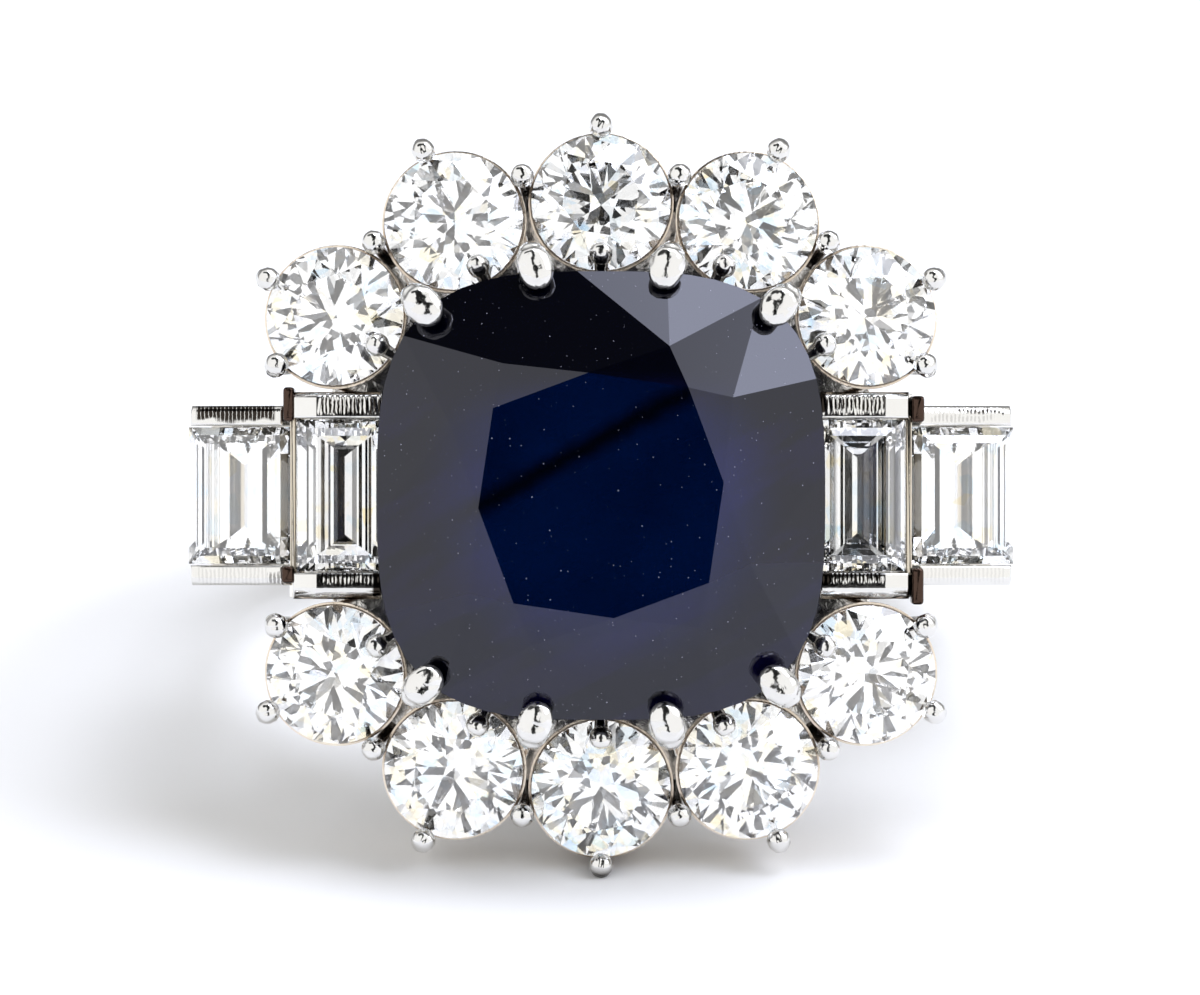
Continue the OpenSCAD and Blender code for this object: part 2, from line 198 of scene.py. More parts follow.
# Claws of the sapphire in one quarter of the head. Their path has a foot, and then places as
# reach past the bead's own reach and height
MAIN_BEADS = [(1.66, 5.75), (4.48, 4.78)]
MAIN_FOOT = (3.9, 9.6)
GIRDLE_TOP = 14.92
MAIN_PATH = [
    (-0.25, 12.4),
    (0.3, 14.0),
    (0.36, GIRDLE_TOP - 0.15),
    (0.04, GIRDLE_TOP + 0.32),
    (-0.63, GIRDLE_TOP + 0.46),
]

# Dark strokes painted on the bars, partly the file strokes' own marks and faint scratches, partly
# painted reflection of the dark surroundings and painted shadow, in head millimetres: from and to
# across, from and to along, how much of the place has strokes, and how dark they are
STROKE_SCALE = 3.1
STROKE_AND_SHADE_COLOUR = (0.03, 0.025, 0.02)
STROKE_AND_SHADE_ZONES = [
    (-7.05, -5.5, 2.02, 2.44, 0.5, 1.0),
    (5.5, 7.15, 2.14, 2.46, 0.5, 1.0),
    (-7.1, -5.5, -2.26, -1.94, 0.5, 1.0),
    (5.5, 7.08, -2.2, -1.92, 0.55, 1.0),
    # Outer bars and the gaps beside the left posts: the dark zones are painted reflection and
    # painted shade, the faint ones scratches
    (-10.2, -8.2, 1.9, 2.3, 0.95, 1.0),
    (-8.4, -7.95, -2.2, -1.9, 0.7, 0.6),
    (-10.2, -8.4, -2.22, -1.8, 0.5, 0.12),
    (8.9, 10.2, 2.08, 2.2, 0.6, 1.0),
    (8.3, 9.9, 1.84, 2.04, 0.45, 0.25),
    (8.2, 10.2, -2.2, -1.8, 0.45, 0.08),
    # Painted shadow at the inner bars' ends beside the sapphire
    (-5.74, -5.3, -2.5, -1.85, 1.3, 1.0),
    (5.3, 5.66, 2.08, 2.7, 1.3, 1.0),
    (5.3, 5.78, -2.3, -1.85, 1.3, 1.0),
]
ZONE_INSIDE = 0.05
ZONE_OUTSIDE = 0.03
LINE_SOFTNESS = 0.1
RAGGED_SCALE = 2.5
RAGGED_REACH = 0.35

# Every metal: a faint mottle over its colour, and smears in its polish
MOTTLE_SCALE = 900
MOTTLE_COLOUR = (0.9, 0.885, 0.86)
SMEAR_SCALE = 2200
SMEAR_RANGE = (0.3, 0.7)

# Diamond: painted fire, patches of warm and cool colour that stand for flashes of dispersed
# light, as place in the range and colour
DIAMOND_IOR = 2.417
FIRE_SCALE = 2600.0
FIRE = [
    (0.0, (0.98, 0.98, 0.98)),
    (0.7, (1.0, 1.0, 1.0)),
    (0.76, (1.0, 0.86, 0.52)),
    (0.82, (1.0, 1.0, 0.98)),
    (0.9, (0.6, 0.82, 1.0)),
    (1.0, (0.97, 0.98, 1.0)),
]

# Sapphire. A fade has the value where it is full and the one where it is nothing: for the table
# this is how squarely a facet faces outward, for below the y, for around the distance from the
# head's middle, and for the rest the noise. A glow is added to the colour under it
SAPPHIRE_IOR = 1.77
SAPPHIRE_SPECULAR = 0.24
SAPPHIRE_SPECULAR_TINT = (0.86, 0.87, 1.0, 1.0)
SAPPHIRE_TRANSMISSION = 0.25
RIM_COLOUR = (0.0004, 0.0006, 0.003)
CLOUD_SCALE = 0.35
BLUE = [(0.35, (0.0002, 0.003, 0.021)), (0.65, (0.0003, 0.0045, 0.031))]
TABLE_FADE = (0.9995, 0.995)
BELOW_FADE = (1.6, 3.2)
AROUND_FADE = (2.7, 4.8)
AROUND_GLOW = (0.0005, 0.001, 0.024)
STREAK_SIZE = (8.3, 1.1, 3.3)
STREAK_FADE = (0.58, 0.46)
STREAK_GLOW = (0.0016, 0.001, 0.013)
SHADE_START = (-3.07, -0.29)
SHADE_END = (2.2, 2.6)
SHADE_HALF = 0.52
SHADE_WOBBLE = 0.3
SHADE_WOBBLE_SCALE = 1.4
SHADE_COLOUR = (0.0004, 0.0008, 0.003)
SPECK_SCALE = 7.0
SPECK_SPREAD = 0.16
SPECK_FADE = (0.09, 0.15)
SPECK_COLOUR = (0.42, 0.43, 0.54)

# Light tent around the ring: how it glows in front of the head and behind it, and between
# which angles from the head's axis it changes
TENT_FRONT = 1.27
TENT_FRONT_DEG = 85
TENT_BACK = 0.26
TENT_BACK_DEG = 125
WHITE = (1, 1, 1)
WINDOW_TINT = (0.96, 1.0, 1.13)
# Patches of the tent by polar angle, turn, full and fading radius in degrees, and glow
PATCHES = [
    (0, 0, 6, 10, 0.0),
    (14, 270, 8, 12, 0.04),
    (26, 270, 7, 10, 0.06),
    (38, 270, 6, 9, 0.1),
    (16, 88, 9, 13, 0.03),
    (33, 82, 9, 14, 0.02),
    (48, 90, 10, 15, 0.02),
    (63, 100, 10, 15, 0.05),
    (68, 122, 11, 17, 0.05),
    (69, 36, 10, 19, 6.0),
    (76, 74, 10, 19, 6.0),
]

# Floor, in metres
FLOOR_R = 1.6
FLOOR_COUNT = 96
FLOOR_ROUGHNESS = 0.6
FLOOR_CLOUD_SCALE = 30
FLOOR_GREYS = [(0.3, (0.93, 0.93, 0.93)), (0.7, (0.95, 0.95, 0.95))]

# Camera: square on to the head, far away, at the photo's scale. The aim is in the head's own
# millimetres, the clip in metres
PHOTO_PIXELS_WIDE = 1200
PIXELS_PER_MM = 40
CAMERA_AIM = (-0.025, -0.05, 14.5)
CAMERA_AWAY = 330.0
CAMERA_CLIP = (0.01, 10)
SENSOR_MM = 36.0


# Frame: the finger hole's middle and axis give the place and lean of the head
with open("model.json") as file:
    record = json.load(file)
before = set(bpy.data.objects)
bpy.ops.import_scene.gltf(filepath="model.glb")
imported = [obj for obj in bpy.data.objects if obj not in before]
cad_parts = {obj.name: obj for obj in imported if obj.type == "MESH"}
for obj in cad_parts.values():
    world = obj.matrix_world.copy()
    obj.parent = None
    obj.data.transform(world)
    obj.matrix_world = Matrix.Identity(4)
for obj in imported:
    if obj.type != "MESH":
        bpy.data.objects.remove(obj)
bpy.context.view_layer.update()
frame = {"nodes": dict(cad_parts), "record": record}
bore = frame["record"]["mounts"][0]
across_axis = Vector((1, 0, 0))
finger_axis = Vector(bore["axis"]).normalized()
face_axis = across_axis.cross(finger_axis)
HEAD = Matrix((across_axis, finger_axis, face_axis)).transposed().to_4x4()
HEAD.translation = Vector(bore["pos_m"])
HEAD_MM = HEAD @ Matrix.Scale(MM, 4)
rng = random.Random(SEED)


# Making of meshes
class Shape:
    """Points in head millimetres and the faces between them, joined from several forms."""

    def __init__(self):
        self.points = []
        self.faces = []

    def add(self, points, faces, place=None):
        start = len(self.points)
        if place is not None:
            points = [place @ Vector(p) for p in points]
        self.points.extend(tuple(p) for p in points)
        self.faces.extend(tuple(start + i for i in face) for face in faces)


def clean(mesh, sharp_deg):
    """Joins doubled points, turns all faces outward and shades all but the sharp edges smooth."""
    work = bmesh.new()
    work.from_mesh(mesh)
    bmesh.ops.remove_doubles(work, verts=work.verts, dist=WELD)
    bmesh.ops.recalc_face_normals(work, faces=work.faces)
    work.to_mesh(mesh)
    work.free()
    mesh.shade_smooth()
    mesh.set_sharp_from_angle(angle=math.radians(sharp_deg))


def solid(name, shape, sharp_deg=SHARP_DEG):
    """Makes an object of the shape, in the row frame."""
    mesh = bpy.data.meshes.new(name)
    mesh.from_pydata(shape.points, [], shape.faces)
    mesh.transform(HEAD_MM)
    clean(mesh, sharp_deg)
    made = bpy.data.objects.new(name, mesh)
    bpy.context.scene.collection.objects.link(made)
    return made


def piece(name, shape, material, sharp_deg=SHARP_DEG):
    """Makes a piece of metal that rides on the ring."""
    made = solid(name, shape, sharp_deg)
    made.data.materials.append(material)
    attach(made, "root")
    return made


def carve(target, cutter_shape):
    """Takes the cutter's volume out of the target's mesh."""
    cutter = solid("cutter", cutter_shape)
    cut = target.modifiers.new("cut", "BOOLEAN")
    cut.operation = "DIFFERENCE"
    cut.solver = "EXACT"
    cut.object = cutter
    bpy.context.view_layer.update()
    graph = bpy.context.evaluated_depsgraph_get()
    result = bpy.data.meshes.new_from_object(target.evaluated_get(graph))
    target.modifiers.clear()
    target.data = result
    clean(result, SHARP_DEG)
    bpy.data.objects.remove(cutter)


def loft(shape, rings, joined=False, place=None):
    """Skin over closed rings of equally many points, with flat ends unless the rings join up."""
    count = len(rings[0])
    points = [p for ring in rings for p in ring]
    faces = []
    for i in range(len(rings) if joined else len(rings) - 1):
        here = i * count
        after = (i + 1) % len(rings) * count
        for j in range(count):
            k = (j + 1) % count
            faces.append((here + j, here + k, after + k, after + j))
    if not joined:
        faces.append(tuple(reversed(range(count))))
        faces.append(tuple(range(len(points) - count, len(points))))
    shape.add(points, faces, place)


def rectangle(x, y):
    """Corners of a rectangle, from and to in x and in y."""
    return [(x[0], y[0]), (x[1], y[0]), (x[1], y[1]), (x[0], y[1])]


def rounded(corners, radius, steps=4, only=None):
    """Closed outline in which each corner, or each that only names, is a short curve."""
    out = []
    for i, corner in enumerate(corners):
        here = np.array(corner, float)
        if only is not None and i not in only:
            out.append(here)
            continue
        back = np.array(corners[i - 1], float) - here
        ahead = np.array(corners[(i + 1) % len(corners)], float) - here
        back_l = np.linalg.norm(back)
        ahead_l = np.linalg.norm(ahead)
        half = 0.5 * math.acos(max(-1.0, min(1.0, back @ ahead / back_l / ahead_l)))
        reach = min(radius / math.tan(half), CORNER_SHARE * back_l, CORNER_SHARE * ahead_l)
        start = here + back / back_l * reach
        end = here + ahead / ahead_l * reach
        for t in np.linspace(0, 1, steps + 1):
            out.append((1 - t) ** 2 * start + 2 * t * (1 - t) * here + t * t * end)
    return out


def inset(outline, amount):
    """The outline moved inward along its normals."""
    p = np.array(outline, float)
    along = np.roll(p, -1, 0) - np.roll(p, 1, 0)
    normal = np.stack([-along[:, 1], along[:, 0]], 1)
    normal /= np.maximum(np.linalg.norm(normal, axis=1, keepdims=True), TINY)
    area = np.sum(p[:, 0] * np.roll(p[:, 1], -1) - np.roll(p[:, 0], -1) * p[:, 1])
    return p + normal * amount * (1 if area > 0 else -1)


def extrude(shape, outline, z, edge, place=None, steps=3):
    """Straight bar over an outline, from and to in z, with rounded rims at both ends."""
    low, high = z
    turns = [math.pi / 2 * k / steps for k in range(steps + 1)]
    levels = [(edge * (1 - math.sin(t)), low + edge * (1 - math.cos(t))) for t in turns]
    levels += [(amount, low + high - level) for amount, level in reversed(levels)]
    rings = [[(x, y, level) for x, y in inset(outline, amount)] for amount, level in levels]
    loft(shape, rings, place=place)


def pin(shape, middle, radius, heights, sides):
    """Round pin along z, of the size of a hole."""
    turn = np.linspace(0, FULL_TURN, sides, endpoint=False)
    around = [(middle[0] + radius * math.cos(a), middle[1] + radius * math.sin(a)) for a in turn]
    loft(shape, [[(x, y, z) for x, y in around] for z in heights])


def sweep(shape, section_at, count, place=None):
    """Ring around z whose section, in radius and height, may change with the turn."""
    rings = []
    for a in np.linspace(0, FULL_TURN, count, endpoint=False):
        rings.append([(r * math.cos(a), r * math.sin(a), z) for r, z in section_at(a)])
    loft(shape, rings, joined=True, place=place)


def curve(points, per_span=10):
    """Smooth path through the points."""
    p = [np.array(q, float) for q in points]
    p = [2 * p[0] - p[1]] + p + [2 * p[-1] - p[-2]]
    out = []
    for i in range(1, len(p) - 2):
        for t in np.linspace(0, 1, per_span, endpoint=False):
            out.append(0.5 * (2 * p[i] + (p[i + 1] - p[i - 1]) * t
                + (2 * p[i - 1] - 5 * p[i] + 4 * p[i + 1] - p[i + 2]) * t ** 2
                + (3 * p[i] - p[i - 1] - 3 * p[i + 1] + p[i + 2]) * t ** 3))
    out.append(p[-2])
    return np.array(out)


# Claws
def claw_radius(past, kind):
    """Radius of a claw at a place past its bead's middle, in halves of the bead's length."""
    radius = kind.bead * math.sqrt(max(0.0, 1 - min(1.0, abs(past)) ** BEAD_ROUNDNESS))
    if past <= 0:
        radius = max(kind.wire, radius)
    ledge = (past - COLLAR_AT) / COLLAR_WIDTH
    return radius * (1 - kind.collar * math.exp(-ledge * ledge) / kind.bead)


def grooved(point, heart, groove_way, kind):
    """The point moved inward where the setting tool has cut the bead's top."""
    off = point - heart
    height = max(0.0, off[2]) / kind.bead
    across = off @ groove_way
    cut = max(0.0, 1 - (across / (GROOVE_HALF * kind.bead)) ** 2)
    return point - off * kind.groove * cut * height


def claw(shape, path, kind, place):
    """Wire along a path that ends in a bead, whose far end is the path's end."""
    line = curve(path)
    steps = np.linalg.norm(np.diff(line, axis=0), axis=1)
    run = np.concatenate([[0], np.cumsum(steps)])
    middle = run[-1] - kind.length
    neck = np.linspace(0, middle + BEAD_START * kind.length, NECK_COUNT)
    turns = np.linspace(math.acos(-BEAD_START), math.pi - BEAD_TIP_TURN, BEAD_COUNT)
    stops = np.concatenate([neck[:-1], middle - kind.length * np.cos(turns)])
    centres = np.stack([np.interp(stops, run, line[:, k]) for k in range(3)], 1)
    heart = np.array([np.interp(middle, run, line[:, k]) for k in range(3)])
    phase = Vector([rng.uniform(0, LUMP_REACH) for _ in range(3)])
    twist = rng.uniform(-GROOVE_TWIST, GROOVE_TWIST)
    groove_way = np.array([math.sin(twist), math.cos(twist), 0.0])
    side = np.array([1.0, 0, 0])
    rings = []
    for i, here in enumerate(centres):
        ahead = centres[min(i + 1, len(centres) - 1)] - centres[max(i - 1, 0)]
        ahead /= np.linalg.norm(ahead)
        side = side - ahead * (side @ ahead)
        side /= np.linalg.norm(side)
        third = np.cross(ahead, side)
        past = (stops[i] - middle) / kind.length
        radius = claw_radius(past, kind)
        pressed = (1 - kind.squash) * min(1.0, max(0.0, (past - PRESS_START) / PRESS_RUN))
        ring = []
        for a in np.linspace(0, FULL_TURN, kind.sides, endpoint=False):
            way = math.cos(a) * side + math.sin(a) * third
            lump = noise.noise(Vector(here + way) * LUMP_SCALE + phase)
            point = here + way * radius * (1 + kind.lump / kind.bead * lump)
            point[2] -= (point[2] - here[2]) * pressed
            if past > GROOVE_START:
                point = grooved(point, heart, groove_way, kind)
            ring.append(tuple(point))
        rings.append(ring)
    loft(shape, rings, place=place)


# Bars of the boxes
def draw_strokes(top):
    """Strokes of a file along a bar, each a little different."""
    strokes = []
    at = top.hatch[0]
    while at < top.hatch[1]:
        strokes.append(Stroke(at, rng.uniform(*STROKE_LEAN), rng.uniform(*STROKE_DEEP),
            rng.uniform(*STROKE_START), rng.uniform(*STROKE_STOP)))
        at += top.pitch * rng.uniform(*STROKE_GAP)
    return strokes


def stroke_depth(u, share, top, strokes):
    """How far the strokes go down at a place along the bar and a share of its width."""
    total = 0.0
    for stroke in strokes:
        away = (u - stroke.at - stroke.lean * (share - 0.5)) / (STROKE_WIDTH * top.pitch)
        if abs(away) < STROKE_FAR:
            begun = min(1.0, max(0.0, (share - stroke.start) / STROKE_FADE))
            left = min(1.0, max(0.0, (top.reach - stroke.stop - share) / STROKE_FADE))
            total += top.depth * stroke.deep * begun * left * math.exp(-away * away)
    return total


def rim_places(span, edge, count):
    """Places across a span, close together at its two rims."""
    rim = [stop * edge for stop in RIM_STOPS]
    middle = np.linspace(span[0] + edge, span[1] - edge, count)
    return [span[0] + r for r in rim] + list(middle) + [span[1] - r for r in reversed(rim)]


def engraved_bar(shape, x, y, z, top, place):
    """Bar, from and to in x, y and z, whose top has strokes of a file and a rounded bevel
    along its outer side."""
    xs = rim_places(x, top.edge, BAR_LONG_COUNT)
    ys = rim_places(y, top.edge, BAR_WIDE_COUNT)
    strokes = draw_strokes(top)

    def height(u, v):
        share = (v - y[0]) / (y[1] - y[0])
        near = min(u - x[0], x[1] - u, v - y[0], y[1] - v)
        drop = top.edge - math.sqrt(max(0.0, top.edge ** 2 - max(0.0, top.edge - near) ** 2))
        drop += top.fall * (max(0.0, share - top.flat) / (1 - top.flat)) ** BEVEL_CURVE
        drop += top.slope * max(0.0, u - top.cap)
        return z[1] - drop - stroke_depth(u, share, top, strokes)

    nx = len(xs)
    ny = len(ys)
    points = [(u, v, height(u, v)) for v in ys for u in xs]
    faces = [(j * nx + i, j * nx + i + 1, (j + 1) * nx + i + 1, (j + 1) * nx + i)
        for j in range(ny - 1) for i in range(nx - 1)]
    loop = list(range(nx)) + [j * nx + nx - 1 for j in range(1, ny)]
    loop += [(ny - 1) * nx + i for i in range(nx - 2, -1, -1)]
    loop += [j * nx for j in range(ny - 2, 0, -1)]
    foot = len(points)
    points += [(points[i][0], points[i][1], z[0]) for i in loop]
    under = len(points)
    points.append((sum(x) / 2, sum(y) / 2, z[0]))
    for k, i in enumerate(loop):
        after = (k + 1) % len(loop)
        faces.append((loop[after], i, foot + k, foot + after))
        faces.append((foot + after, foot + k, under))
    shape.add(points, faces, place)


# Places in the head
def quarters():
    """Mirrors that carry the first quarter of the head to all four."""
    for across in (1, -1):
        for along in (1, -1):
            yield Matrix.Diagonal((across, along, 1, 1))


def at_brilliant(x, y):
    """Frame of a brilliant: z along its axis, x straight outward from the head."""
    out = math.atan2(y, x)
    return (Matrix.Translation((x, y, BRILLIANT_Z)) @ Matrix.Rotation(out, 4, "Z")
        @ Matrix.Rotation(BRILLIANT_LEAN, 4, "Y"))


def brilliant_places():
    """Middles of the ten brilliants, in the head's plane."""
    right = [SIDE_XY, CORNER_XY, (CORNER_XY[0], -CORNER_XY[1]), (SIDE_XY[0], -SIDE_XY[1])]
    left = [(-x, -y) for x, y in right]
    return [(0, ROW_MIDDLE_Y)] + right + [(0, -ROW_MIDDLE_Y)] + left


# Nodes of a material
def new_material(name):
    material = bpy.data.materials.new(name)
    material.use_nodes = True
    return material, material.node_tree, material.node_tree.nodes["Principled BSDF"]


def add_node(tree, kind, inputs=None, **settings):
    """A node with its settings, and its inputs as values or as sockets to link."""
    made = tree.nodes.new(kind)
    for key, value in settings.items():
        setattr(made, key, value)
    for key, value in (inputs or {}).items():
        if isinstance(value, bpy.types.NodeSocket):
            tree.links.new(value, made.inputs[key])
        else:
            made.inputs[key].default_value = value
    return made


def object_place(tree):
    """The object's own place in metres."""
    return add_node(tree, "ShaderNodeTexCoord").outputs["Object"]


def head_place(tree):
    """Millimetres in the head's own frame."""
    moved = add_node(tree, "ShaderNodeMapping", {"Vector": object_place(tree),
        "Location": HEAD.translation, "Rotation": HEAD.to_euler(), "Scale": (MM, MM, MM)},
        vector_type="TEXTURE")
    return moved.outputs["Vector"]


def math_node(tree, operation, first, second=0.0):
    made = add_node(tree, "ShaderNodeMath", {0: first, 1: second}, operation=operation)
    return made.outputs["Value"]


def dot_of(tree, vector, way):
    """How far a vector goes along a fixed way."""
    made = add_node(tree, "ShaderNodeVectorMath", {0: vector, 1: way}, operation="DOT_PRODUCT")
    return made.outputs["Value"]


def fade_of(tree, value, near, far, full=1.0, nothing=0.0):
    """Full up to near, nothing from far on."""
    made = add_node(tree, "ShaderNodeMapRange", {"Value": value, "From Min": far,
        "From Max": near, "To Min": nothing, "To Max": full}, interpolation_type="SMOOTHSTEP")
    return made.outputs["Result"]


def blend_of(tree, factor, first, second, kind="MIX"):
    """Mix of two colours, each a value or a socket."""
    made = add_node(tree, "ShaderNodeMix", {"Factor": factor}, data_type="RGBA",
        blend_type=kind)
    for key, colour in (("A", first), ("B", second)):
        if isinstance(colour, bpy.types.NodeSocket):
            tree.links.new(colour, made.inputs[key])
        else:
            made.inputs[key].default_value = (*colour, 1)
    return made.outputs["Result"]


def noise_of(tree, place, scale, detail, distortion=0.0):
    made = add_node(tree, "ShaderNodeTexNoise", {"Vector": place, "Scale": scale,
        "Detail": detail, "Distortion": distortion})
    return made.outputs["Fac"]


def cells_of(tree, place, scale):
    """Random cells: how far their middles are, and their random colours."""
    cells = add_node(tree, "ShaderNodeTexVoronoi", {"Vector": place, "Scale": scale})
    pick = add_node(tree, "ShaderNodeSeparateColor", {"Color": cells.outputs["Color"]})
    return cells.outputs["Distance"], pick


def ramp_of(tree, factor, stops):
    """Colours by factor; stops are pairs of place and colour."""
    ramp = add_node(tree, "ShaderNodeValToRGB", {"Fac": factor})
    ramp.color_ramp.elements[0].position = stops[0][0]
    ramp.color_ramp.elements[0].color = (*stops[0][1], 1)
    ramp.color_ramp.elements[1].position = stops[-1][0]
    ramp.color_ramp.elements[1].color = (*stops[-1][1], 1)
    for at, colour in stops[1:-1]:
        ramp.color_ramp.elements.new(at).color = (*colour, 1)
    return ramp.outputs["Color"]


# Metals
def zone_of(tree, value, low, high):
    """One between two values, nothing past them, with soft ends."""
    off = math_node(tree, "ABSOLUTE", math_node(tree, "SUBTRACT", value, (low + high) / 2))
    half = (high - low) / 2
    return fade_of(tree, off, half - ZONE_INSIDE, half + ZONE_OUTSIDE)


def strokes_and_shade_of(tree):
    """Where the bars have dark strokes, partly file marks and partly painted reflection and
    painted shadow: one on a stroke, else nothing.
    """
    place = head_place(tree)
    axes = add_node(tree, "ShaderNodeSeparateXYZ", {"Vector": place})
    waves = add_node(tree, "ShaderNodeTexWave", {"Vector": place, "Scale": STROKE_SCALE,
        "Distortion": 2.6, "Detail": 3.0, "Detail Scale": 1.6, "Detail Roughness": 0.6})
    ragged = noise_of(tree, place, RAGGED_SCALE, detail=4.0)
    shift = math_node(tree, "SUBTRACT", ragged, 0.5)
    shift = math_node(tree, "MULTIPLY", shift, RAGGED_REACH)
    along = math_node(tree, "ADD", axes.outputs["Y"], shift)
    total = None
    for x0, x1, y0, y1, cover, dark in STROKE_AND_SHADE_ZONES:
        inside = math_node(tree, "MULTIPLY", zone_of(tree, axes.outputs["X"], x0, x1),
            zone_of(tree, along, y0, y1))
        lines = fade_of(tree, waves.outputs["Fac"], cover - LINE_SOFTNESS, cover + LINE_SOFTNESS)
        inside = math_node(tree, "MULTIPLY", inside, lines)
        inside = math_node(tree, "MULTIPLY", inside, dark)
        total = inside if total is None else math_node(tree, "MAXIMUM", total, inside)
    return total


def metal(name, open_colour, crevice_shade_colour, reach, rough, grain, grain_depth, strokes_and_shade=False,
        shade=(0.15, 0.75)):
    """Polished or satin white gold with painted shade: an occlusion mask makes its crevices,
    recesses and the places between parts darker and warmer. reach is how far, in metres, a
    crevice is felt, shade how open a place is where the painted shade is darkest and where it is
    as bright as can be, and grain and its depth the finest relief."""
    material, tree, shader = new_material(name)
    # Painted shade: occlusion blends the colour toward the crevice colour in crevices and
    # recesses
    occlusion = add_node(tree, "ShaderNodeAmbientOcclusion", {"Distance": reach}, samples=8)
    tint = ramp_of(tree, occlusion.outputs["AO"], [(shade[0], crevice_shade_colour),
        (shade[1], open_colour)])
    cloud = noise_of(tree, object_place(tree), MOTTLE_SCALE, detail=4)
    colour = blend_of(tree, cloud, tint, MOTTLE_COLOUR, "MULTIPLY")
    if strokes_and_shade:
        # Dark strokes: partly file marks, partly painted reflection and painted shadow
        colour = blend_of(tree, strokes_and_shade_of(tree), colour, STROKE_AND_SHADE_COLOUR)
    tree.links.new(colour, shader.inputs["Base Color"])
    smear = noise_of(tree, object_place(tree), SMEAR_SCALE, detail=5, distortion=1.5)
    spread = add_node(tree, "ShaderNodeMapRange", {"Value": smear, "From Min": SMEAR_RANGE[0],
        "From Max": SMEAR_RANGE[1], "To Min": rough[0], "To Max": rough[1]})
    tree.links.new(spread.outputs["Result"], shader.inputs["Roughness"])
    fine = noise_of(tree, object_place(tree), grain, detail=3, distortion=0.6)
    bump = add_node(tree, "ShaderNodeBump", {"Height": fine, "Distance": grain_depth,
        "Strength": 1.0})
    tree.links.new(bump.outputs["Normal"], shader.inputs["Normal"])
    shader.inputs["Metallic"].default_value = 1.0
    return material


# Each metal's crevice colour is painted shade, laid into its crevices and recesses by occlusion
POLISHED = metal("white_gold_polished", open_colour=(0.74, 0.735, 0.72),
    crevice_shade_colour=(0.3, 0.26, 0.22), reach=0.0008, rough=(0.04, 0.12), grain=5200,
    grain_depth=0.000004)
CLAW = metal("white_gold_claws", open_colour=(0.75, 0.745, 0.735),
    crevice_shade_colour=(0.05, 0.042, 0.036), reach=0.0006, rough=(0.04, 0.14), grain=4200,
    grain_depth=0.00001, shade=(0.3, 0.8))
SATIN = metal("white_gold_satin", open_colour=(0.8, 0.72, 0.62),
    crevice_shade_colour=(0.24, 0.16, 0.1), reach=0.0008, rough=(0.14, 0.28), grain=3800,
    grain_depth=0.00002)
# Bars: painted reflection and painted shadow in the dark strokes over their file marks
FILED_AND_SHADED = metal("white_gold_filed_and_shaded", open_colour=(0.77, 0.765, 0.75),
    crevice_shade_colour=(0.6, 0.57, 0.53), reach=0.0004, rough=(0.06, 0.16), grain=5200,
    grain_depth=0.000006, strokes_and_shade=True)
# Cup and plate: painted light, a metal brighter than the polished one that stands for light
# hardly reaching them under the stones
LIT_LINING = metal("white_gold_painted_light_lining", open_colour=(0.95, 0.94, 0.92),
    crevice_shade_colour=(0.85, 0.83, 0.8), reach=0.0003, rough=(0.08, 0.18), grain=3800,
    grain_depth=0.00001)
WORN = metal("white_gold_worn", open_colour=(0.66, 0.6, 0.5),
    crevice_shade_colour=(0.22, 0.16, 0.1), reach=0.0004, rough=(0.12, 0.26), grain=3800,
    grain_depth=0.00001)
# Posts: painted shade, a near-black brown that stands for the shaded gaps beside the walls
PAINTED_POST_SHADE = metal("white_gold_painted_shade_posts", open_colour=(0.07, 0.045, 0.035),
    crevice_shade_colour=(0.02, 0.012, 0.01), reach=0.0005, rough=(0.1, 0.3), grain=3800,
    grain_depth=0.00002)


# Stones
def diamond():
    """Clear diamond with the faintest painted fire: patches of warm and cool colour that stand
    for flashes of dispersed light.
    """
    material, tree, shader = new_material("diamond_clear")
    _, pick = cells_of(tree, object_place(tree), FIRE_SCALE)
    tint = ramp_of(tree, pick.outputs["Red"], FIRE)
    tree.links.new(tint, shader.inputs["Base Color"])
    shader.inputs["Roughness"].default_value = 0.0
    shader.inputs["IOR"].default_value = DIAMOND_IOR
    shader.inputs["Transmission Weight"].default_value = 1.0
    return material


def on_table(tree):
    """One on the sapphire's table, nothing on its other facets."""
    normal = add_node(tree, "ShaderNodeTexCoord").outputs["Normal"]
    return fade_of(tree, dot_of(tree, normal, face_axis), *TABLE_FADE)


def around_table(tree, axes, table, below):
    """Ring outside the table that the blue spreads into, but not at the top of the stone."""
    flat = add_node(tree, "ShaderNodeCombineXYZ", {"X": axes.outputs["X"],
        "Y": axes.outputs["Y"]})
    reach = add_node(tree, "ShaderNodeVectorMath", {0: flat.outputs["Vector"]},
        operation="LENGTH")
    near = fade_of(tree, reach.outputs["Value"], *AROUND_FADE)
    near = math_node(tree, "MULTIPLY", near, below)
    return math_node(tree, "MULTIPLY", near, math_node(tree, "SUBTRACT", 1.0, table))


def streaks(tree, place, lean, table, below):
    """Pale streaks along the shade, in the crown alone and not at the top of the stone."""
    grain = add_node(tree, "ShaderNodeMapping", {"Vector": place, "Rotation": (0, 0, lean),
        "Scale": STREAK_SIZE}, vector_type="TEXTURE")
    streak = noise_of(tree, grain.outputs["Vector"], 1.0, detail=3.0)
    veil = math_node(tree, "SUBTRACT", fade_of(tree, streak, *STREAK_FADE), table)
    return math_node(tree, "MULTIPLY", math_node(tree, "MAXIMUM", veil, 0.0), below)


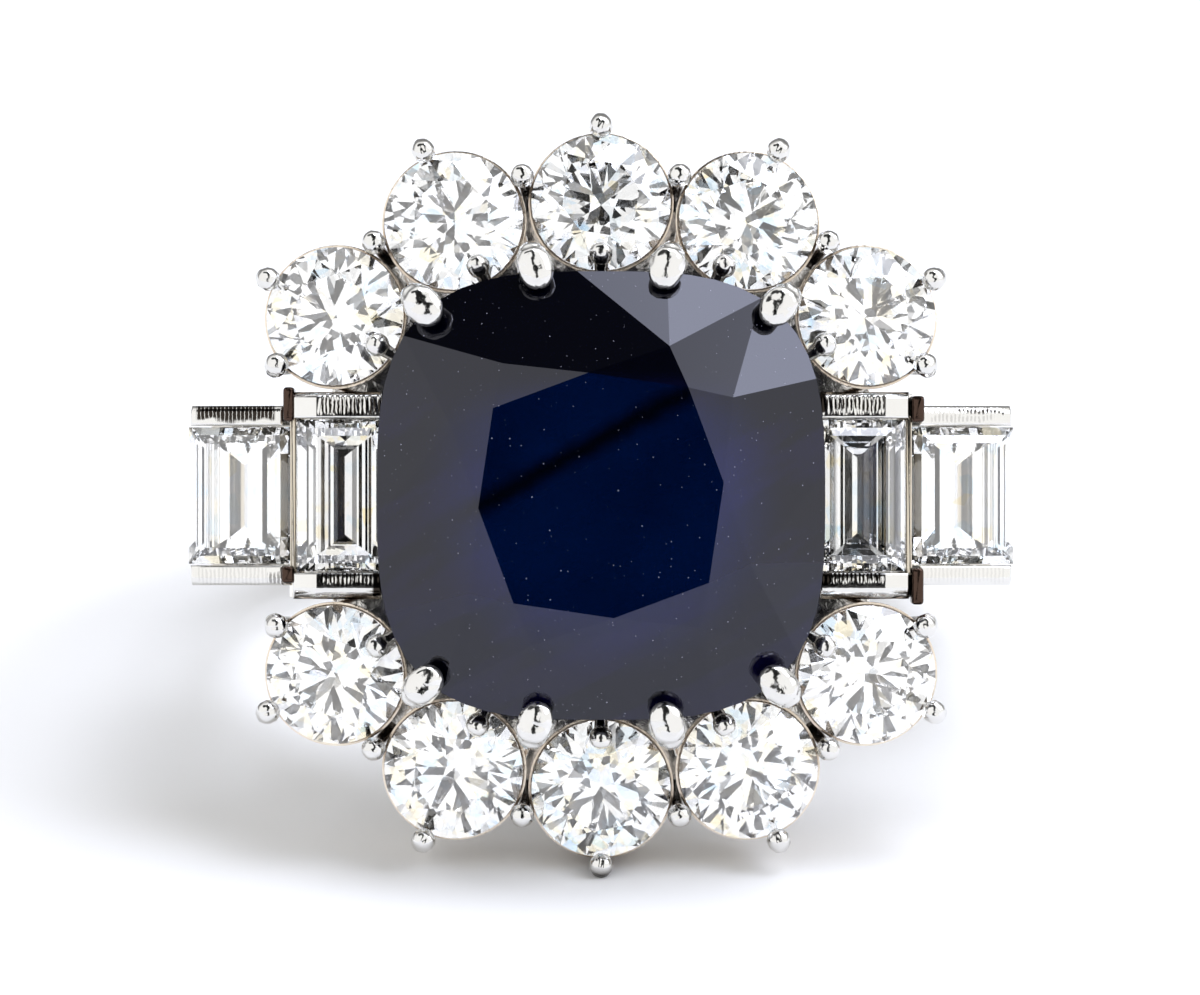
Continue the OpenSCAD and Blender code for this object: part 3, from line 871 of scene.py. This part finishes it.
def shade_across(tree, place, lean):
    """Painted reflection: a soft dark band across the table that stands for an internal
    reflection, with an uneven edge.
    """
    across = dot_of(tree, place, (-math.sin(lean), math.cos(lean), 0))
    middle = SHADE_START[1] * math.cos(lean) - SHADE_START[0] * math.sin(lean)
    away = math_node(tree, "SUBTRACT", across, middle)
    wobble = noise_of(tree, place, SHADE_WOBBLE_SCALE, detail=2.0)
    wobble = math_node(tree, "SUBTRACT", wobble, 0.5)
    away = math_node(tree, "ADD", away, math_node(tree, "MULTIPLY", wobble, SHADE_WOBBLE))
    return fade_of(tree, math_node(tree, "ABSOLUTE", away), 0.0, SHADE_HALF)


def specks(tree, place):
    """Specks of dust of different size and brightness."""
    distance, pick = cells_of(tree, place, SPECK_SCALE)
    smaller = math_node(tree, "MULTIPLY", pick.outputs["Red"], SPECK_SPREAD)
    speck = fade_of(tree, math_node(tree, "ADD", distance, smaller), *SPECK_FADE)
    return math_node(tree, "MULTIPLY", speck, pick.outputs["Green"])


def sapphire():
    """Nearly black navy stone, bluer toward its middle."""
    material, tree, shader = new_material("sapphire_navy")
    place = head_place(tree)
    axes = add_node(tree, "ShaderNodeSeparateXYZ", {"Vector": place})
    lean = math.atan2(SHADE_END[1] - SHADE_START[1], SHADE_END[0] - SHADE_START[0])
    blue = ramp_of(tree, noise_of(tree, place, CLOUD_SCALE, detail=2.0), BLUE)
    table = on_table(tree)
    below = fade_of(tree, axes.outputs["Y"], *BELOW_FADE)
    around = around_table(tree, axes, table, below)
    inner = math_node(tree, "MAXIMUM", table, around)
    colour = blend_of(tree, inner, RIM_COLOUR, blue)
    veil = streaks(tree, place, lean, table, below)
    colour = blend_of(tree, veil, colour, STREAK_GLOW, "ADD")
    colour = blend_of(tree, around, colour, AROUND_GLOW, "ADD")
    # Painted reflection: the dark band across the table
    shade = math_node(tree, "MULTIPLY", shade_across(tree, place, lean), inner)
    colour = blend_of(tree, shade, colour, SHADE_COLOUR)
    colour = blend_of(tree, specks(tree, place), colour, SPECK_COLOUR)
    tree.links.new(colour, shader.inputs["Base Color"])
    shader.inputs["Roughness"].default_value = 0.0
    shader.inputs["IOR"].default_value = SAPPHIRE_IOR
    shader.inputs["Specular IOR Level"].default_value = SAPPHIRE_SPECULAR
    shader.inputs["Specular Tint"].default_value = SAPPHIRE_SPECULAR_TINT
    shader.inputs["Transmission Weight"].default_value = SAPPHIRE_TRANSMISSION
    return material


def dress_stones():
    clear = diamond()
    navy = sapphire()
    for name, node in frame["nodes"].items():
        if name == "ring_mount":
            continue
        node.data.materials.clear()
        node.data.materials.append(navy if name == "sapphire" else clear)


# Pieces of the metal
def band_half(z):
    """Half the band's width at a height."""
    return (BAND_W_BACK + (BAND_W_FRONT - BAND_W_BACK) * (z + BAND_R) / (2 * BAND_R)) / 2


def crown_radius(y):
    """Radius of the band's crowned outside at a distance from its middle plane."""
    return BAND_R - BAND_CROWN_R + math.sqrt(BAND_CROWN_R ** 2 - y ** 2)


def band_section(a):
    """Outline of the band at a turn, as radius and place along the finger. Its outer half
    width depends on the radius there, so it is found in a few passes."""
    inner = band_half(FINGER_R * math.sin(a))
    outer = inner
    for _ in range(BAND_PASSES):
        outer = band_half(crown_radius(outer) * math.sin(a))
    section = [(FINGER_R, inner), (FINGER_R, -inner)]
    section += [(crown_radius(outer * share), outer * share) for share in BAND_CROWN_STOPS]
    return rounded(section, BAND_EDGE, only=(0, 1, 2, len(section) - 1))


def make_band():
    shape = Shape()
    rings = []
    for a in np.linspace(0, FULL_TURN, BAND_COUNT, endpoint=False):
        rings.append([(r * math.cos(a), y, r * math.sin(a)) for r, y in band_section(a)])
    loft(shape, rings, joined=True)
    band = piece("band", shape, POLISHED)
    hole = Shape()
    pin(hole, (0, 0), HEAD_CUT_R, HEAD_CUT_Z, HEAD_CUT_COUNT)
    carve(band, hole)
    return band


def make_shoulders():
    shape = Shape()
    for side in (1, -1):
        for strap in (OUTER_STRAP, INNER_STRAP):
            outline = [(side * x, z) for x, z in rounded(strap, STRAP_CORNER, steps=6)]
            extrude(shape, outline, (-STRAP_W / 2, STRAP_W / 2), STRAP_EDGE,
                Matrix.Rotation(math.pi / 2, 4, "X"))
    return piece("shoulders", shape, POLISHED)


def cup_section(a):
    """Outline of the cup at a turn, as radius and height. Its foot lies round the finger hole."""
    foot = [(r, math.sqrt(UNDER_HEAD_R ** 2 - (r * math.cos(a)) ** 2))
        for r in np.linspace(CUP_HOLE_R, CUP_FOOT_R, CUP_FOOT_COUNT)]
    return rounded(foot + CUP_OUTSIDE + CUP_INSIDE, CUP_EDGE, steps=3)


def make_cup():
    shape = Shape()
    sweep(shape, cup_section, CUP_COUNT)
    return piece("cup", shape, LIT_LINING)


def plate_edge(a, feet):
    """How far the plate reaches from the middle of the head at an angle."""
    way = np.array([math.cos(a), math.sin(a)])
    reach = min(half / max(abs(part), TINY) for half, part in zip(PLATE_HALF, way))
    for i, foot in enumerate(feet):
        before = feet[i - 1] * PLATE_REACH
        here = foot * PLATE_REACH
        span = np.array([here - before, -way]).T
        if abs(np.linalg.det(span)) > TINY:
            share, out = np.linalg.solve(span, -before)
            if 0 <= share <= 1 and out > 0:
                reach = max(reach, out)
        beside = foot[0] * way[1] - foot[1] * way[0]
        if abs(beside) < PLATE_RING_R and foot @ way > 0:
            reach = max(reach, foot @ way + math.sqrt(PLATE_RING_R ** 2 - beside ** 2))
    return reach


def make_plate():
    shape = Shape()
    drop = COLLET_PROFILE[-1][1] * math.sin(BRILLIANT_LEAN)
    feet = [np.array(p) * (1 + drop / math.hypot(*p)) for p in brilliant_places()]

    def section(a):
        corners = rectangle((CUP_SEAT_R, plate_edge(a, feet)), PLATE_Z)
        return rounded(corners, PLATE_EDGE, steps=3)

    sweep(shape, section, PLATE_COUNT)
    plate = piece("gallery_plate", shape, LIT_LINING)
    holes = Shape()
    for foot in feet:
        pin(holes, foot, PLATE_HOLE_R, PLATE_HOLE_Z, PLATE_HOLE_COUNT)
    carve(plate, holes)
    return plate


def make_collets():
    shape = Shape()
    section = rounded(COLLET_PROFILE, COLLET_EDGE, steps=2)
    for x, y in brilliant_places():
        sweep(shape, lambda a: section, COLLET_COUNT, at_brilliant(x, y))
    return piece("collets", shape, SATIN)


def small_claw(shape, place, turn_deg, bead):
    """Claw of a brilliant at a turn from straight outward."""
    turn = math.radians(turn_deg)
    tip = bead.height + math.sqrt(SMALL_CLAW.bead ** 2 - bead.lean ** 2)
    stops = [CLAW_FOOT, CLAW_TOP, (bead.reach, bead.height), (bead.reach - bead.lean, tip)]
    path = [(r * math.cos(turn), r * math.sin(turn), h) for r, h in stops]
    claw(shape, path, SMALL_CLAW, place)


def make_small_claws():
    shape = Shape()
    for y in (ROW_MIDDLE_Y, -ROW_MIDDLE_Y):
        place = at_brilliant(0, y)
        small_claw(shape, place, OUTWARD, OUTER_BEAD)
        small_claw(shape, place, INWARD, INNER_BEAD)
    for mirror in quarters():
        for (x, y), turns in ((SIDE_XY, SIDE_TURNS), (CORNER_XY, CORNER_TURNS)):
            place = mirror @ at_brilliant(x, y)
            for turn in turns:
                small_claw(shape, place, turn, OUTER_BEAD)
            small_claw(shape, place, INWARD, INNER_BEAD)
        for foot, top in zip(SHARED_FEET, SHARED_TOPS):
            foot = np.array(foot)
            top = np.array(top)
            up = (top - foot) / np.linalg.norm(top - foot)
            tip = top + up * SHARED_TIP_RUN + (0, 0, SMALL_CLAW.bead)
            claw(shape, [foot, (foot + top) / 2, top, tip], SMALL_CLAW, mirror)
    return piece("small_claws", shape, CLAW)


def make_main_claws():
    shape = Shape()
    for mirror in quarters():
        for x, y in MAIN_BEADS:
            turn = math.atan2(y, x)
            reach = math.hypot(x, y)
            stops = [MAIN_FOOT] + [(reach + past, z) for past, z in MAIN_PATH]
            path = [(r * math.cos(turn), r * math.sin(turn), z) for r, z in stops]
            claw(shape, path, MAIN_CLAW, mirror)
    return piece("main_claws", shape, CLAW)


def make_boxes():
    """Bars above and below the baguettes, and the floors of the outer ones."""
    shape = Shape()
    outer = Matrix.Translation(OUTER_PLACE) @ Matrix.Rotation(OUTER_LEAN, 4, "Y")
    floor = rounded(rectangle(OUTER_FLOOR_X, (-OUTER_BAR_Y[1], OUTER_BAR_Y[1])),
        OUTER_FLOOR_CORNER)
    for side in (1, -1):
        for end, inner_top in ((1, INNER_TOP), (-1, INNER_BOTTOM)):
            mirror = Matrix.Diagonal((side, end, 1, 1))
            engraved_bar(shape, INNER_BAR_X, INNER_BAR_Y, INNER_BAR_Z, inner_top, mirror)
            engraved_bar(shape, OUTER_BAR_X, OUTER_BAR_Y, OUTER_BAR_Z, OUTER_TOP,
                mirror @ outer)
        mirror = Matrix.Diagonal((side, 1, 1, 1))
        extrude(shape, floor, OUTER_FLOOR_Z, OUTER_FLOOR_EDGE, mirror @ outer)
    return piece("baguette_boxes", shape, FILED_AND_SHADED, BAR_SHARP_DEG)


def make_walls():
    """Thin walls between the inner and the outer baguettes."""
    shape = Shape()
    for side in (1, -1):
        corners = rectangle((side * WALL_X[0], side * WALL_X[1]), WALL_Y)
        extrude(shape, rounded(corners, WALL_CORNER), WALL_Z, WALL_EDGE)
    return piece("walls", shape, WORN)


def make_posts():
    """Posts beside the walls, near black with painted shade for the shaded gaps there."""
    shape = Shape()
    for x, y in POSTS:
        extrude(shape, rounded(rectangle(x, y), POST_CORNER), POST_Z, POST_EDGE)
    return piece("posts", shape, PAINTED_POST_SHADE)


# Light, floor and camera
def direction(polar_deg, turn_deg):
    """Way out from the head, by angle from its axis and by turn from its right."""
    polar = math.radians(polar_deg)
    turn = math.radians(turn_deg)
    way = Vector((math.sin(polar) * math.cos(turn), math.sin(polar) * math.sin(turn),
        math.cos(polar)))
    return (HEAD.to_3x3() @ way).normalized()


def cos_deg(angle):
    return math.cos(math.radians(angle))


def make_tent():
    world = bpy.data.worlds.new("tent")
    bpy.context.scene.world = world
    world.use_nodes = True
    tree = world.node_tree
    tree.nodes.clear()
    way = add_node(tree, "ShaderNodeTexCoord").outputs["Generated"]
    glow = fade_of(tree, dot_of(tree, way, direction(0, 0)), cos_deg(TENT_FRONT_DEG),
        cos_deg(TENT_BACK_DEG), full=TENT_FRONT, nothing=TENT_BACK)
    for polar, turn, full, fade, level in PATCHES:
        towards = dot_of(tree, way, direction(polar, turn))
        inside = fade_of(tree, towards, cos_deg(full), cos_deg(fade))
        tint = WINDOW_TINT if level > 1 else WHITE
        glow = blend_of(tree, inside, glow, [level * share for share in tint])
    seen = add_node(tree, "ShaderNodeLightPath").outputs["Is Camera Ray"]
    behind = blend_of(tree, seen, glow, WHITE)
    shine = add_node(tree, "ShaderNodeBackground", {"Color": behind})
    add_node(tree, "ShaderNodeOutputWorld", {"Surface": shine.outputs["Background"]})


def make_floor():
    material, tree, shader = new_material("floor_white")
    cloud = noise_of(tree, object_place(tree), FLOOR_CLOUD_SCALE, detail=3)
    tree.links.new(ramp_of(tree, cloud, FLOOR_GREYS), shader.inputs["Base Color"])
    shader.inputs["Roughness"].default_value = FLOOR_ROUGHNESS
    mesh = bpy.data.meshes.new("floor")
    disc = bmesh.new()
    bmesh.ops.create_circle(disc, cap_ends=True, segments=FLOOR_COUNT, radius=FLOOR_R)
    disc.to_mesh(mesh)
    disc.free()
    mesh.materials.append(material)
    floor = bpy.data.objects.new("floor", mesh)
    bpy.context.scene.collection.objects.link(floor)


def make_camera():
    view = bpy.data.cameras.new("camera")
    view.sensor_width = SENSOR_MM
    view.lens = SENSOR_MM * CAMERA_AWAY * PIXELS_PER_MM / PHOTO_PIXELS_WIDE
    view.clip_start, view.clip_end = CAMERA_CLIP
    camera = bpy.data.objects.new("camera", view)
    bpy.context.scene.collection.objects.link(camera)
    place = Vector(CAMERA_AIM) + Vector((0, 0, CAMERA_AWAY))
    camera.matrix_world = HEAD @ Matrix.Translation(place * MM)
    bpy.context.scene.camera = camera


def set_colours():
    """Plain colours, and enough bounces of light for clear stones."""
    scene = bpy.context.scene
    scene.view_settings.view_transform = "Standard"
    scene.view_settings.look = "None"
    scene.cycles.max_bounces = 20
    scene.cycles.glossy_bounces = 16
    scene.cycles.transmission_bounces = 20


metal_pieces = [make_band(), make_shoulders(), make_cup(), make_plate(), make_collets(),
    make_small_claws(), make_main_claws(), make_boxes(), make_walls(), make_posts()]
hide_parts("ring_mount")
dress_stones()
make_tent()
make_floor()
make_camera()
set_colours()
